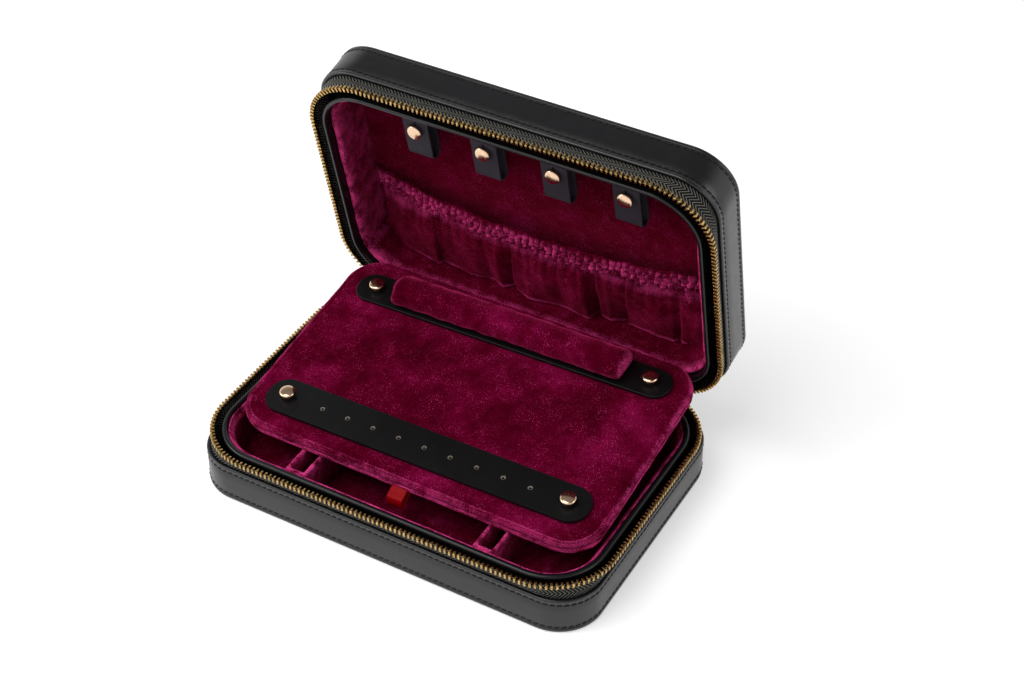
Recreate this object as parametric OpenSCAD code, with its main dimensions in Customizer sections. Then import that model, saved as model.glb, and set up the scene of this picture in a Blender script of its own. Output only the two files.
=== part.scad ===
// Zipped jewellery case, modelled open.
// X runs along the hinge edge, +Y towards the hinge, +Z up; the base stands
// on z = 0. The lid is drawn closed in its own frame and turned about the
// spine into its open pose.

/* [Case] */
// length of the case along the hinge
case_w = 230; // [180:1:300]
// depth of the case, front to hinge
case_d = 156; // [110:1:220]
// plan radius of the leather bands at the corners
corner_r = 24; // [12:1:34]
// height of the zip line above the table
zip_z = 30; // [20:0.5:50]
// closed height of the case
case_h = 63.4; // [45:0.1:110]
// how far the lid stands open from closed
lid_open = 77; // [0:1:90]

/* [Leather shell] */
// thickness of the bottom and top boards with their leather
board_t = 2.4; // [1.6:0.1:4]
// wall thickness of the leather bands
band_t = 2.2; // [1.4:0.1:3.5]
// height of the base band's top edge
base_band_top = 21.5; // [14:0.5:40]
// height of the lid band's lower edge, lid closed
lid_band_low = 41.2; // [34:0.1:70]
// step of the bands inside the edge of the boards
band_step = 0.3; // [0:0.1:1]

/* [Zip] */
// distance from one tooth to the next
tooth_pitch = 2.59; // [2:0.01:4]
// width of a tooth along the chain
tooth_w = 1.15; // [0.8:0.05:1.6]
// how far the chain stands outside the case outline
zip_out = 0.6; // [0:0.1:3]
// plan radius of the chain at the corners
zip_r = 35; // [20:1:60]
// thickness of the woven tape
tape_t = 0.7; // [0.4:0.1:1.2]
// turn into the rear corners at which the chains end
chain_end_deg = 70; // [40:1:80]

/* [Lining] */
// inset of the stiff leather collar from the case outline
collar_in = 5.6; // [4:0.1:9]
// thickness of the collar
collar_t = 2.4; // [1.6:0.1:4]
// thickness of the velvet-covered lining walls
lining_t = 2.8; // [2:0.1:5]
// height of the lining and dividers in the base
lining_top = 26.5; // [16:0.5:40]
// distance of the dividers from the middle of the case
divider_x = 55.4; // [30:0.1:80]
// width over both walls of a divider
divider_w = 12.4; // [9:0.1:20]
// width of the slot in a divider
slot_w = 6; // [4:0.1:12]

/* [Panel] */
// length of the padded panel
panel_w = 210; // [150:1:280]
// depth of the padded panel
panel_d = 133.4; // [90:0.1:200]
// plan radius of the panel's corners
panel_r = 24; // [8:1:40]
// height of the panel's rear top edge
panel_z = 51.8; // [40:0.1:70]
// distance of the panel's rear edge behind the middle
panel_y = 78.8; // [60:0.1:100]
// slope of the panel, down towards the front
panel_tilt = 7.8; // [0:0.1:20]

/* [Straps and loops] */
// thickness of the leather straps
strap_t = 1.6; // [1:0.1:3]
// half the distance between the two studs of a strap
stud_x = 82.6; // [50:0.1:110]
// width of the earring strap
earring_strap_w = 22.6; // [14:1:35]
// number of earring holes
earring_holes = 9; // [3:1:15]
// radius of an earring hole
earring_hole_r = 1.25; // [0.8:0.05:2.5]
// width of the ring strap
ring_strap_w = 20; // [12:1:30]
// half the length of the ring pad
ring_pad_x = 70; // [40:1:100]
// radius of the ring pad
ring_pad_r = 9.8; // [6:0.1:14]
// distance between two necklace loops
loop_pitch = 40.75; // [25:0.25:60]
// width of a necklace loop
loop_w = 15; // [8:0.5:25]

/* [Output] */
// sub-part to show, or all

/* [Hidden] */
$fn = 64;
gap = 0.1;
hull_fn = 32;
half_w = case_w / 2;
half_d = case_d / 2;
// hinge axis of the lid: just inside the rear edge at the zip line
hinge_y = half_d + 1.8;
hinge_z = zip_z + 1;
// chain path, seen from above
chain_hw = half_w + zip_out;
chain_hd = half_d + zip_out;
chain_front = chain_hw - zip_r;
chain_arc = zip_r * PI / 2;
chain_side = 2 * (chain_hd - zip_r);
chain_half = chain_front + chain_arc + chain_side + zip_r * chain_end_deg * PI / 180;
teeth_half = floor(chain_half / tooth_pitch);
// a tooth: two legs astride the tape under one head
tooth_leg = 2.2;
tooth_head = 1.5;
base_tooth_z = zip_z - 2.7;
lid_tooth_z = zip_z + 2.8;
tape_edge = 2.0;
stop_w = 2.2;
stop_h = 2.4;
// collar and lining outlines, concentric with the chain
collar_r = zip_r - collar_in - zip_out;
collar_lip = collar_t / 2;
base_collar_top = zip_z - 0.2;
lid_collar_low = zip_z + 0.5;
lining_in = collar_in + collar_t + gap;
lining_r = collar_r - collar_t - gap;
well_hw = half_w - lining_in - lining_t;
well_hd = half_d - lining_in - lining_t;
floor_t = 2;
lid_lining_low = zip_z + 4.5;
lid_board_z = case_h - board_t;
back_pad_t = 1.7;
lid_back_z = lid_board_z - back_pad_t;
// spine: two leaves glued to the bands and the fold between them
spine_hw = 62;
spine_t = 1.2;
leaf_h = 14;
leaf_base_z = 5;
leaf_lid_z = 2 * hinge_z - leaf_base_z - leaf_h;
// the fold is tangent to both leaves at the open pose
leaf_y = half_d + gap;
fold_y = leaf_y + spine_t / 2;
fold_r = (hinge_z + (hinge_y - fold_y) * tan(lid_open / 2) - leaf_base_z - leaf_h - gap)
    / tan(lid_open / 2);
// panel layers, measured down from the top of the panel
pad_t = 4.1;
panel_t = 7;
pad_edge = pad_t / 2;
board_edge = (panel_t - pad_t) / 2;
// places on the panel, measured from its rear edge
ring_v = 21.5;
ring_turn = 1.3;
earring_v = 110.3;
earring_turn = 0.75;
earring_pitch = 15.3;
// studs
flange_r = 3.2;
flange_h = 0.8;
neck_r = 2;
neck_hole_r = 2.3;
head_r = 4.2;
head_h = 2.8;
head_edge = 0.8;
strap_n = flange_h + gap;
head_n = strap_n + strap_t + 1.8;
slit_w = 0.7;
slit_l = 6;
// necklace loops, in the closed frame of the lid
loop_t = 1.2;
loop_back_z = 52.9;
loop_front_z = 46;
loop_fold_y = -28.1;
loop_top_y = -(well_hd - gap);
loop_free_y = -53.5;
loop_stud_y = -44.6;
loop_flange_z = lid_back_z - 0.6;
// pocket, in the closed frame of the lid
pocket_hw = 101;
pocket_mouth_y = 27;
pocket_low_y = well_hd - 0.4;
pocket_z = 50.4;
pocket_wall = 1.2;
band_low_y = 15;
elastic_t = 2;
// zip slider, parked on the bare end of the tape beside the spine
slider_x = -68;
slider_l = 11;
slider_h = 6;
plate_t = 1;
plate_gap = 1.6;
bail_y = chain_hd + 3.8;
bail_r = 0.7;
eye_bore_r = 0.78;
eye_r = 1.9;
leather = [0.09, 0.09, 0.10];
velvet = [0.42, 0.02, 0.20];
velvet_dark = [0.25, 0.01, 0.08];
gold = [0.80, 0.62, 0.42];
tape_black = [0.05, 0.05, 0.055];
satin = [0.62, 0.02, 0.06];

// ---- outlines and frames ----

// rounded rectangle of half sizes hw and hd
module rrect(hw, hd, r) {
    square([2 * (hw - r), 2 * hd], center = true);
    square([2 * hw, 2 * (hd - r)], center = true);
    for (x = [-1, 1], y = [-1, 1]) translate([x * (hw - r), y * (hd - r)]) circle(r);
}

// the case outline moved in by d
module case_outline(d) rrect(half_w - d, half_d - d, corner_r - d);

// an outline of the inner frame, whose corners follow the chain
module inner_outline(d) rrect(half_w - d, half_d - d, zip_r - zip_out - d);

// round bead of radius e along a rounded rectangle, its outer edge on the outline
module bead(hw, hd, r, e) {
    for (y = [-1, 1]) translate([0, y * (hd - e), 0]) rotate([0, 90, 0])
        cylinder(r = e, h = 2 * (hw - r), center = true);
    for (x = [-1, 1]) translate([x * (hw - e), 0, 0]) rotate([90, 0, 0])
        cylinder(r = e, h = 2 * (hd - r), center = true);
    for (i = [0:3]) {
        sx = (i == 0 || i == 3) ? 1 : -1;
        sy = i < 2 ? 1 : -1;
        translate([sx * (hw - r), sy * (hd - r), 0]) rotate([0, 0, 90 * i])
            rotate_extrude(angle = 90) translate([r - e, 0]) circle(e);
    }
}

module at_height(z, h) translate([0, 0, z]) linear_extrude(h) children();

// extrude a profile drawn in the Y-Z plane along X
module along_x(len) rotate([90, 0, 90]) linear_extrude(len, center = true) children();

// turns what is drawn closed into the open pose of the lid
module lid_pose() translate([0, hinge_y, hinge_z]) rotate([-lid_open, 0, 0])
    translate([0, -hinge_y, -hinge_z]) children();

// panel frame: x across, y = 0 at the rear edge and negative to the front, z = 0 on the velvet
module panel_pose() translate([0, panel_y, panel_z]) rotate([panel_tilt, 0, 0]) children();

// ---- leather shell ----

module band(z0, z1, step_z) {
    at_height(z0, z1 - z0) difference() {
        case_outline(band_step);
        case_outline(band_step + band_t);
    }
    // turned edge of the leather at the open side
    at_height(step_z, 0.9) difference() {
        case_outline(0);
        case_outline(band_step + band_t);
    }
}

module base_bottom() color(leather) at_height(0, board_t) case_outline(0);

module base_band() color(leather) band(board_t, base_band_top, base_band_top - 1.4);

module lid_top() color(leather) lid_pose() at_height(lid_board_z, board_t) case_outline(0);

module lid_band() color(leather) lid_pose() band(lid_band_low, lid_board_z, lid_band_low + 0.5);

module leaf(z) along_x(2 * spine_hw) translate([leaf_y, z])
    square([spine_t, leaf_h]);

module spine_base_leaf() color(leather) leaf(leaf_base_z);

module spine_lid_leaf() color(leather) lid_pose() leaf(leaf_lid_z);

// the free part of the spine, bowed inwards while the lid stands open
module spine_fold() color(leather)
    translate([0, fold_y + fold_r, leaf_base_z + leaf_h + gap])
    along_x(2 * spine_hw) intersection() {
        difference() {
            circle(fold_r + spine_t / 2);
            circle(fold_r - spine_t / 2);
        }
        polygon([[0, 0], [-2 * fold_r, 0], [-2 * fold_r, 2 * fold_r],
            2 * fold_r * [-cos(lid_open), sin(lid_open)]]);
    }

// ---- zip ----

// point and heading on the chain, at a distance u from the front middle towards +X
function chain_at(u) =
    u < chain_front ? [u, -chain_hd, 0] :
    u < chain_front + chain_arc ?
        let (a = (u - chain_front) / zip_r * 180 / PI)
        [chain_front + zip_r * sin(a), -chain_hd + zip_r * (1 - cos(a)), a] :
    u < chain_front + chain_arc + chain_side ?
        [chain_hw, -chain_hd + zip_r + u - chain_front - chain_arc, 90] :
        let (a = (u - chain_front - chain_arc - chain_side) / zip_r * 180 / PI)
        [chain_front + zip_r * cos(a), chain_hd - zip_r * (1 - sin(a)), 90 + a];

module on_chain(u) {
    p = chain_at(abs(u));
    s = u < 0 ? -1 : 1;
    translate([s * p[0], p[1], 0]) rotate([0, 0, s * p[2]]) children();
}

// one tooth seen along the chain, legs down: a head over two legs
module tooth_profile() polygon([[-1.5, 0], [-0.45, 0], [-0.45, tooth_leg], [0.45, tooth_leg],
    [0.45, 0], [1.5, 0], [1.45, 2.5], [0.8, tooth_leg + tooth_head],
    [-0.8, tooth_leg + tooth_head], [-1.45, 2.5]]);

module tooth() along_x(tooth_w) tooth_profile();

module base_zip_teeth() color(gold)
    for (i = [-teeth_half:teeth_half]) translate([0, 0, base_tooth_z])
        on_chain(i * tooth_pitch) tooth();

module lid_zip_teeth() color(gold) lid_pose()
    for (i = [-teeth_half:teeth_half - 1]) translate([0, 0, lid_tooth_z])
        on_chain((i + 0.5) * tooth_pitch) mirror([0, 0, 1]) tooth();

// clamps that close off both ends of a chain
module zip_stops(z, h) for (s = [-1, 1]) translate([0, 0, z])
    on_chain(s * (chain_half + stop_w)) along_x(stop_w) difference() {
        translate([-1.4, 0]) square([2.8, h]);
        translate([-0.45, -gap]) square([0.9, tape_edge + 2 * gap]);
    }

module base_zip_stops() color(gold) zip_stops(base_tooth_z, stop_h);

module lid_zip_stops() color(gold) lid_pose() translate([0, 0, 2 * zip_z]) mirror([0, 0, 1])
    zip_stops(2 * zip_z - lid_tooth_z, stop_h);

module chain_outline(d) rrect(chain_hw - d, chain_hd - d, zip_r - d);

// woven tape: a hem inside the band, a skirt that widens out to the chain, and the
// upright edge that the teeth sit astride
module tape(hem_z, skirt_z, tooth_z, edge_z) {
    inner = band_step + band_t + gap;
    s = edge_z > skirt_z ? 1 : -1;
    at_height(min(hem_z, skirt_z), abs(skirt_z - hem_z)) difference() {
        case_outline(inner);
        case_outline(inner + tape_t);
    }
    difference() {
        tape_loft(inner, -tape_t / 2, skirt_z, tooth_z - s * tape_t, 0, $fn = hull_fn);
        tape_loft(inner + tape_t, tape_t / 2, skirt_z, tooth_z - s * tape_t, s, $fn = hull_fn);
    }
    at_height(min(tooth_z - s * tape_t, edge_z), abs(edge_z - tooth_z) + tape_t) difference() {
        chain_outline(-tape_t / 2);
        chain_outline(tape_t / 2);
    }
}

module tape_loft(low, high, z0, z1, over) hull() {
    translate([0, 0, z0 - over]) linear_extrude(0.01, center = true) case_outline(low);
    translate([0, 0, z1 + over]) linear_extrude(0.01, center = true) chain_outline(high);
}

// the tape stops at both ends of the spine
module tape_window() translate([-spine_hw, half_d - 12, 0]) cube([2 * spine_hw, 20, case_h]);

module base_zip_tape() color(tape_black) difference() {
    tape(8, base_band_top + gap, base_tooth_z, base_tooth_z + tape_edge);
    tape_window();
}

module lid_zip_tape() color(tape_black) lid_pose() difference() {
    tape(lid_band_low + 12, lid_band_low - gap, lid_tooth_z, lid_tooth_z - tape_edge);
    tape_window();
    // the lid's tape ends with its chain, clear of the parked slider
    translate([-chain_front, half_d - 12, 0]) cube([2 * chain_front, 20, case_h]);
}

module zip_slider() color(gold) translate([slider_x, chain_hd, zip_z]) {
    for (s = [-1, 1]) translate([0, s * (plate_gap + plate_t) / 2, 0]) rotate([90, 0, 0])
        linear_extrude(plate_t, center = true) rrect(slider_l / 2, slider_h / 2, 2);
    // bridge between the plates, above the tape
    translate([slider_l / 2 - 3, -plate_gap / 2, -0.4]) cube([2, plate_gap, 2]);
    // bail: a bar on two legs
    translate([0, bail_y - chain_hd, 0]) rotate([0, 90, 0])
        cylinder(r = bail_r, h = 6, center = true);
    for (s = [-1, 1]) translate([s * 2.6 - 0.6, plate_gap / 2 + plate_t - gap, -bail_r])
        cube([1.2, bail_y - chain_hd - plate_gap / 2 - plate_t + gap + bail_r, 2 * bail_r]);
}

module zip_pull() color(gold) translate([slider_x, bail_y, zip_z]) {
    difference() {
        union() {
            rotate([0, 90, 0]) cylinder(r = eye_r, h = 3.4, center = true);
            rotate([90, 0, 0]) linear_extrude(1.2, center = true) {
                translate([0, -8]) square([3.4, 13], center = true);
                translate([0, -15]) rrect(3.4, 6.4, 2.6);
            }
        }
        rotate([0, 90, 0]) cylinder(r = eye_bore_r, h = 5, center = true);
        translate([0, 0, -18]) rotate([90, 0, 0]) cylinder(r = 1.5, h = 3, center = true);
    }
}

// ---- collars and lining ----

module base_collar() color(leather) {
    at_height(board_t + gap, base_collar_top - collar_lip - board_t - gap) difference() {
        inner_outline(collar_in);
        inner_outline(collar_in + collar_t);
    }
    translate([0, 0, base_collar_top - collar_lip])
        bead(half_w - collar_in, half_d - collar_in, collar_r, collar_lip);
}

module lid_collar() color(leather) lid_pose() {
    at_height(lid_collar_low + collar_lip, lid_board_z - gap - lid_collar_low - collar_lip)
        difference() {
            inner_outline(collar_in);
            inner_outline(collar_in + collar_t);
        }
    translate([0, 0, lid_collar_low + collar_lip])
        bead(half_w - collar_in, half_d - collar_in, collar_r, collar_lip);
}

module lining_wall(z0, h) at_height(z0, h) difference() {
    inner_outline(lining_in);
    inner_outline(lining_in + lining_t);
}

module lining_bead() bead(half_w - lining_in, half_d - lining_in, lining_r, lining_t / 2);

module base_lining() color(velvet) {
    lining_wall(board_t + gap, lining_top - lining_t / 2 - board_t - gap);
    translate([0, 0, lining_top - lining_t / 2]) lining_bead();
    at_height(board_t + gap, floor_t) difference() {
        inner_outline(lining_in + gap);
        for (s = [-1, 1]) translate([s * divider_x, 0])
            square([slot_w, 2 * (well_hd - gap - 3)], center = true);
    }
}

// a divider is a long box without floor or top: two walls, a slot between them
module divider(s) color(velvet) translate([s * divider_x, 0, board_t + floor_t + 2 * gap]) {
    h = lining_top - board_t - floor_t - 2 * gap;
    linear_extrude(h - 0.8) divider_ring(0);
    linear_extrude(h) divider_ring(0.5);
}

module divider_ring(d) difference() {
    square([divider_w - 2 * d, 2 * (well_hd - gap)], center = true);
    square([slot_w + 2 * d, 2 * (well_hd - gap - 3)], center = true);
}

module left_divider() divider(-1);

module right_divider() divider(1);

module lid_lining() color(velvet) lid_pose() {
    lining_wall(lid_lining_low + lining_t / 2, lid_back_z - gap - lid_lining_low - lining_t / 2);
    translate([0, 0, lid_lining_low + lining_t / 2]) lining_bead();
}

module lid_back_pad() color(velvet_dark) lid_pose()
    at_height(lid_back_z, back_pad_t - gap) inner_outline(lining_in + gap);

// ---- pocket ----

// gathered pocket: front sheet, two ends and a bottom, open towards the loops
module lid_pocket() color(velvet) lid_pose() difference() {
    at_height(pocket_z, lid_back_z - gap - pocket_z) pocket_outline(0);
    at_height(pocket_z + pocket_wall, lid_back_z - pocket_z) pocket_outline(2);
    // the mouth
    translate([-pocket_hw + 2, pocket_mouth_y - 1, pocket_z + pocket_wall])
        cube([2 * (pocket_hw - 2), 4, lid_back_z - pocket_z]);
}

// the pocket's floor plan, moved in by d and rounded with the lining's corners
module pocket_outline(d) intersection() {
    translate([-pocket_hw + d, pocket_mouth_y])
        square([2 * (pocket_hw - d), pocket_low_y - d - pocket_mouth_y]);
    inner_outline(lining_in + lining_t + gap + d);
}

module pocket_elastic() color(velvet) lid_pose()
    translate([0, (band_low_y + pocket_mouth_y) / 2 - gap, pocket_z + elastic_t / 2])
    cube([2 * pocket_hw + 3, pocket_mouth_y - band_low_y - 2 * gap, elastic_t], center = true);

// ---- necklace loops ----

function loop_x(i) = (i - 2.5) * loop_pitch;

// stud: flange, neck and rounded drum head, standing on z = 0
module stud(head_z) {
    cylinder(r = flange_r, h = flange_h);
    cylinder(r = neck_r, h = head_z + gap);
    translate([0, 0, head_z]) rotate_extrude() {
        square([head_r - head_edge, head_h]);
        translate([0, head_edge]) square([head_r, head_h - 2 * head_edge]);
        for (z = [head_edge, head_h - head_edge])
            translate([head_r - head_edge, z]) circle(head_edge, $fn = 24);
    }
}

// back leg of a loop: tab on the lining wall, leg and the fold at the bottom
module hanger(i) color(leather) lid_pose() translate([loop_x(i), 0, 0]) along_x(loop_w) {
    fold_c = (loop_front_z + loop_back_z + loop_t) / 2;
    fold_o = (loop_back_z + loop_t - loop_front_z) / 2;
    translate([loop_top_y, loop_back_z]) square([loop_fold_y - loop_top_y, loop_t]);
    translate([loop_top_y, loop_back_z]) square([loop_t, loop_flange_z - loop_back_z]);
    translate([loop_fold_y, fold_c]) intersection() {
        difference() {
            circle(fold_o);
            circle(fold_o - loop_t);
        }
        translate([0, -fold_o]) square([fold_o, 2 * fold_o]);
    }
}

// front leg of a loop, with the hole and slit that button over the stud
module flap(i) color(leather) lid_pose() translate([loop_x(i), 0, loop_front_z]) difference() {
    translate([-loop_w / 2, loop_free_y, 0]) cube([loop_w, loop_fold_y - gap - loop_free_y, loop_t]);
    translate([0, loop_stud_y, -1]) cylinder(r = neck_hole_r, h = loop_t + 2);
    translate([-slit_w / 2, loop_stud_y - slit_l, -1]) cube([slit_w, slit_l, loop_t + 2]);
}

module loop_stud(i) color(gold) lid_pose() translate([loop_x(i), loop_stud_y, loop_back_z - gap])
    mirror([0, 0, 1]) stud(loop_back_z - loop_front_z + 0.5);

module necklace_hanger_1() hanger(1);
module necklace_hanger_2() hanger(2);
module necklace_hanger_3() hanger(3);
module necklace_hanger_4() hanger(4);
module necklace_flap_1() flap(1);
module necklace_flap_2() flap(2);
module necklace_flap_3() flap(3);
module necklace_flap_4() flap(4);
module necklace_stud_1() loop_stud(1);
module necklace_stud_2() loop_stud(2);
module necklace_stud_3() loop_stud(3);
module necklace_stud_4() loop_stud(4);

// ---- panel ----

module panel_layer(inset, top, t) translate([0, -panel_d / 2, top - t]) {
    e = t / 2;
    linear_extrude(t) rrect(panel_w / 2 - inset - e, panel_d / 2 - inset - e, panel_r - inset - e);
    translate([0, 0, e]) bead(panel_w / 2 - inset, panel_d / 2 - inset, panel_r - inset, e);
}

module panel_pad() color(velvet) panel_pose() panel_layer(0, 0, pad_t);

module panel_board() color(velvet_dark) panel_pose()
    panel_layer(0.5, -pad_t - gap / 2, panel_t - pad_t);

// velvet strip that ties the rear of the panel down to the spine
module panel_hinge_strip() color(velvet_dark)
    along_x(2 * 90) translate([74.2, 31]) square([0.8, 12.6]);

// ribbon loop under the front edge, for lifting the panel
module pull_ribbon() color(satin) panel_pose() translate([2, 0, 0]) along_x(10) difference() {
    translate([-panel_d - 8, -panel_t - 1]) square([14, 5.4]);
    translate([-panel_d - 7.6, -panel_t - 0.6]) square([9, 4.6]);
    translate([-panel_d - 0.4, -panel_t - 0.6]) square([8, 6]);
}

// places on the centre line of a strap
module ring_line(n) panel_pose() translate([0, -ring_v, n]) rotate([0, 0, ring_turn]) children();
module earring_line(n) panel_pose() translate([0, -earring_v, n]) rotate([0, 0, earring_turn]) children();

module ring_stud_left() color(gold) ring_line(gap) translate([-stud_x, 0, 0]) stud(head_n);
module ring_stud_right() color(gold) ring_line(gap) translate([stud_x, 0, 0]) stud(head_n);
module earring_stud_left() color(gold) earring_line(gap) translate([-stud_x, 0, 0]) stud(head_n);
module earring_stud_right() color(gold) earring_line(gap) translate([stud_x, 0, 0]) stud(head_n);

// strap with round ends, buttoned over two studs
module strap(w, half_l) difference() {
    linear_extrude(strap_t) rrect(half_l, w / 2, w / 2 - 1);
    for (s = [-1, 1]) {
        translate([s * stud_x, 0, -1]) cylinder(r = neck_hole_r, h = strap_t + 2);
        translate([s * stud_x - (s > 0 ? slit_l : 0), -slit_w / 2, -1])
            cube([slit_l, slit_w, strap_t + 2]);
    }
    children();
}

module ring_strap() color(leather) ring_line(strap_n + gap) strap(ring_strap_w, stud_x + 11.6);

module earring_strap() color(leather) earring_line(strap_n + gap)
    strap(earring_strap_w, stud_x + 11.6)
    for (i = [0:earring_holes - 1])
        translate([(i - (earring_holes - 1) / 2) * earring_pitch, 0, -1])
            cylinder(r = earring_hole_r, h = strap_t + 2, $fn = 24);

module ring_pad() color(velvet) ring_line(strap_n + strap_t + 2 * gap)
    along_x(2 * ring_pad_x) intersection() {
        translate([0, 3.2]) circle(ring_pad_r);
        translate([-ring_pad_r, 0]) square([2 * ring_pad_r, 3 * ring_pad_r]);
    }

base_bottom();
base_band();
base_zip_tape();
base_zip_teeth();
base_zip_stops();
base_collar();
base_lining();
left_divider();
right_divider();
spine_base_leaf();
spine_fold();
lid_top();
lid_band();
lid_zip_tape();
lid_zip_teeth();
lid_zip_stops();
lid_collar();
lid_lining();
lid_back_pad();
lid_pocket();
pocket_elastic();
spine_lid_leaf();
necklace_hanger_1();
necklace_hanger_2();
necklace_hanger_3();
necklace_hanger_4();
necklace_stud_1();
necklace_stud_2();
necklace_stud_3();
necklace_stud_4();
necklace_flap_1();
necklace_flap_2();
necklace_flap_3();
necklace_flap_4();
panel_pad();
panel_board();
panel_hinge_strip();
pull_ribbon();
ring_stud_left();
ring_stud_right();
earring_stud_left();
earring_stud_right();
ring_strap();
ring_pad();
earring_strap();
zip_slider();
zip_pull();
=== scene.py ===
import bpy, bmesh, math
from mathutils import Matrix, Vector, noise


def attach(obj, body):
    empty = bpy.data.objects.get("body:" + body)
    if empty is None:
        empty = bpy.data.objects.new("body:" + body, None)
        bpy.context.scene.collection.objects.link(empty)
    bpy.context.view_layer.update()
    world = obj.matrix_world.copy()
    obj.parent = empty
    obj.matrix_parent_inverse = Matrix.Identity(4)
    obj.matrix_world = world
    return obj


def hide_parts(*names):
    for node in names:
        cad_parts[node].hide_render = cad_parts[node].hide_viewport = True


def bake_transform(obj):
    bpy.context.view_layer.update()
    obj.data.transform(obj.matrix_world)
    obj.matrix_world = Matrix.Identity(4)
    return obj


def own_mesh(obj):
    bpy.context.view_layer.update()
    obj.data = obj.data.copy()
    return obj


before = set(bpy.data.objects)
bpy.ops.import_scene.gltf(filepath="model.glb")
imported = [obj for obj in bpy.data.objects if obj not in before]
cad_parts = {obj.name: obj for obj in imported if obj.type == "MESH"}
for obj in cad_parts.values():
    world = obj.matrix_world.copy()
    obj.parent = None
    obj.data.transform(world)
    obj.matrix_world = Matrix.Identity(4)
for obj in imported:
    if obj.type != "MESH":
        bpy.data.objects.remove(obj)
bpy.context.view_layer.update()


# ---- Camera ----
# Looks down on the open case from the front, turned to its right, through a long lens.
turn, lift, distance = math.radians(29.63), math.radians(36.73), 1.05747
aim = Vector((0.00119, 0.05726, 0.11387))
eye = aim + distance * Vector((math.sin(turn) * math.cos(lift), -math.cos(turn) * math.cos(lift),
                               math.sin(lift)))
bpy.ops.object.camera_add(location=eye)
camera = bpy.context.object
camera.rotation_euler = (aim - eye).to_track_quat("-Z", "Y").to_euler()
camera.data.lens, camera.data.sensor_width = 72.22, 36.0
camera.data.shift_y = -0.0991
camera.data.clip_end = 20
bpy.context.scene.camera = camera


# ---- Studio ----
# A white table that runs on behind the case, under large soft lamps. The white that the
# camera and the polished parts see comes from the ray type, and not from more light.
def feed(node, inputs):
    """Gives each named input of a node its value, or links a socket to it."""
    for key, value in inputs.items():
        if isinstance(value, bpy.types.NodeSocket):
            node.id_data.links.new(value, node.inputs[key])
        else:
            node.inputs[key].default_value = value


def wiring(tree):
    """Returns add, which puts a node in the tree, feeds it and gives one of its outputs, or all."""
    def add(kind, inputs=None, output=0, **settings):
        node = tree.nodes.new("ShaderNode" + kind)
        for key, value in settings.items():
            setattr(node, key, value)
        feed(node, inputs or {})
        return node.outputs if output is None else node.outputs[output]
    return add


def new_material(name):
    material = bpy.data.materials.new(name)
    material.use_nodes = True
    add = wiring(material.node_tree)
    return material, add, material.node_tree.nodes["Principled BSDF"], add("TexCoord", output=None)


def white_for_seen_rays(add, dim, lit):
    """Mixes dim, for light that falls on things, with lit, for what is seen."""
    path = add("LightPath", output=None)
    seen = path["Is Camera Ray"]
    for ray in ("Is Glossy Ray", "Is Transmission Ray"):
        seen = add("Math", {0: seen, 1: path[ray]}, operation="MAXIMUM")
    return add("MixShader", {0: seen, 1: dim, 2: lit})


world = bpy.data.worlds.new("studio")
bpy.context.scene.world = world
world.use_nodes = True
room = world.node_tree.nodes["Background"]
feed(room, {"Color": (1, 1, 1, 1), "Strength": 0.32})
add = wiring(world.node_tree)
# the backdrop ends above head height, so polished parts see a darker ceiling over it
sky = add("SeparateXYZ", {0: add("TexCoord", output="Generated")}, "Z")
ceiling = add("MapRange", {"From Min": 0.35, "From Max": 0.75, "To Min": 1.0, "To Max": 0.22, "Value": sky},
              interpolation_type="SMOOTHSTEP")
paper = add("Background", {"Color": (1, 1, 1, 1), "Strength": ceiling})
feed(world.node_tree.nodes["World Output"], {0: white_for_seen_rays(add, room.outputs[0], paper)})

bpy.ops.object.select_all(action="DESELECT")
bpy.ops.mesh.primitive_plane_add(size=7, location=(0, 0, -0.0002))
table = bpy.context.object
table.name = "table"
material, add, shader, place = new_material("table_white")
feed(shader, {"Base Color": (0.86, 0.86, 0.86, 1), "Roughness": 0.9, "Specular IOR Level": 0.1})
lit = add("AddShader", {0: shader.outputs[0], 1: add("Emission", {"Strength": 0.42})})
feed(material.node_tree.nodes["Material Output"], {0: white_for_seen_rays(add, shader.outputs[0], lit)})
table.data.materials.append(material)


def soft_lamp(name, where, width, height, watts):
    bpy.ops.object.light_add(type="AREA", location=where)
    lamp = bpy.context.object
    lamp.name = name
    lamp.data.shape = "RECTANGLE"
    lamp.data.size, lamp.data.size_y, lamp.data.energy = width, height, watts
    lamp.rotation_euler = (Vector((0, 0.03, 0.06)) - Vector(where)).to_track_quat("-Z", "Y").to_euler()


soft_lamp("top_lamp", (-0.35, -0.60, 1.45), 1.1, 0.9, 13)
soft_lamp("left_lamp", (-1.35, -0.85, 0.75), 0.9, 0.9, 9)
soft_lamp("right_lamp", (1.40, 0.10, 0.80), 0.7, 0.9, 4)
bpy.context.scene.view_settings.view_transform = "Standard"


# ---- Leather shell ----
# Base and lid are trays of thin board covered in smooth black leather: a flat board with a
# side band glued round it, whose open edge is turned over into a small roll.
MM = 0.001
HALF_W, HALF_D = 115, 78    # the case's half length and half depth, mm
LID_OPEN = math.radians(77)
HINGE = Vector((0, 79.8 * MM, 31 * MM))
OPEN_LID = (Matrix.Translation(HINGE) @ Matrix.Rotation(-LID_OPEN, 4, "X")
            @ Matrix.Translation(-HINGE))


def case(inset, z, radius=24):
    """Plan of the leather bands, as half width, half depth, corner radius and height."""
    return (HALF_W - inset, HALF_D - inset, radius - inset, z)


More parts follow.
